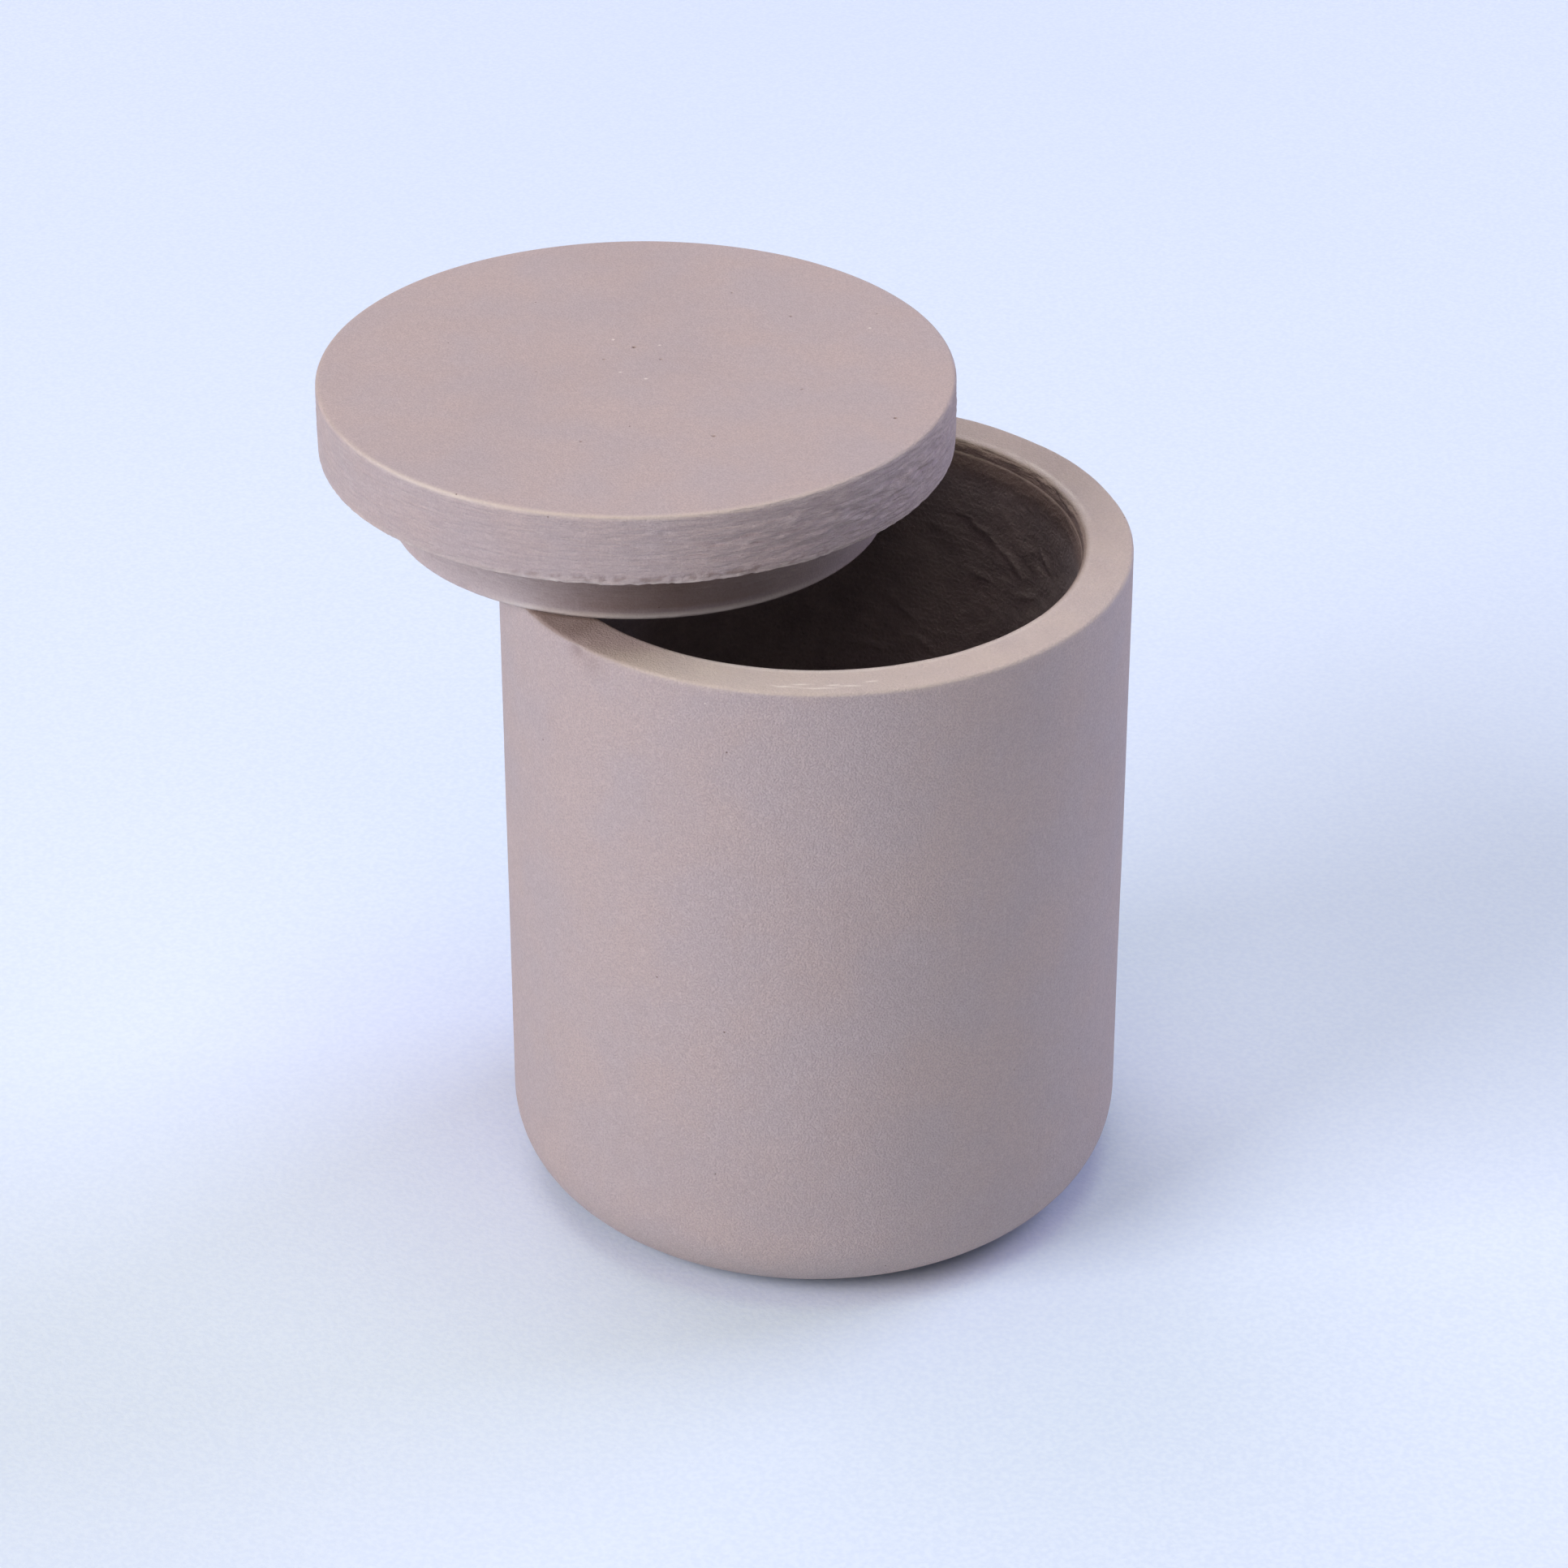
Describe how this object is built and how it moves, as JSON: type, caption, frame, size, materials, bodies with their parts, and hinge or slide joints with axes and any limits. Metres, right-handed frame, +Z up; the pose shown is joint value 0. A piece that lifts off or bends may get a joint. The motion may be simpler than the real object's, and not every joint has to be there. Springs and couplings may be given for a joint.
{
  "type": "lidded jar",
  "caption": "Round thick-walled cast jar with a rounded foot, a dark lining and a loose disc lid whose locating plug rests on the rim.",
  "frame": {"origin": "on the jar's axis, in the flat plane of the foot that the jar stands on", "axes": "+Z up along the jar's axis, towards the mouth; the lid is pushed aside along -X; the XZ plane is the plane of symmetry"},
  "size_m": [0.1155, 0.0886, 0.1204],
  "materials": {
    "cast_jar": "matt, unglazed, finely mottled cast surface",
    "cast_lid": "matt, unglazed, smooth top with drag marks round the edge",
    "lining_coat": "dark brown brushed-on sealing coat, satin, slightly wrinkled"
  },
  "bodies": {
    "jar": {"jar_body": "cast_jar", "inner_lining": "lining_coat"},
    "lid": {"lid": "cast_lid"}
  },
  "joints": [
    {"name": "lid_lift", "type": "slide", "parent": "jar", "child": "lid", "axis": [0, 0, 1], "range_m": [0, 0.06]}
  ]
}
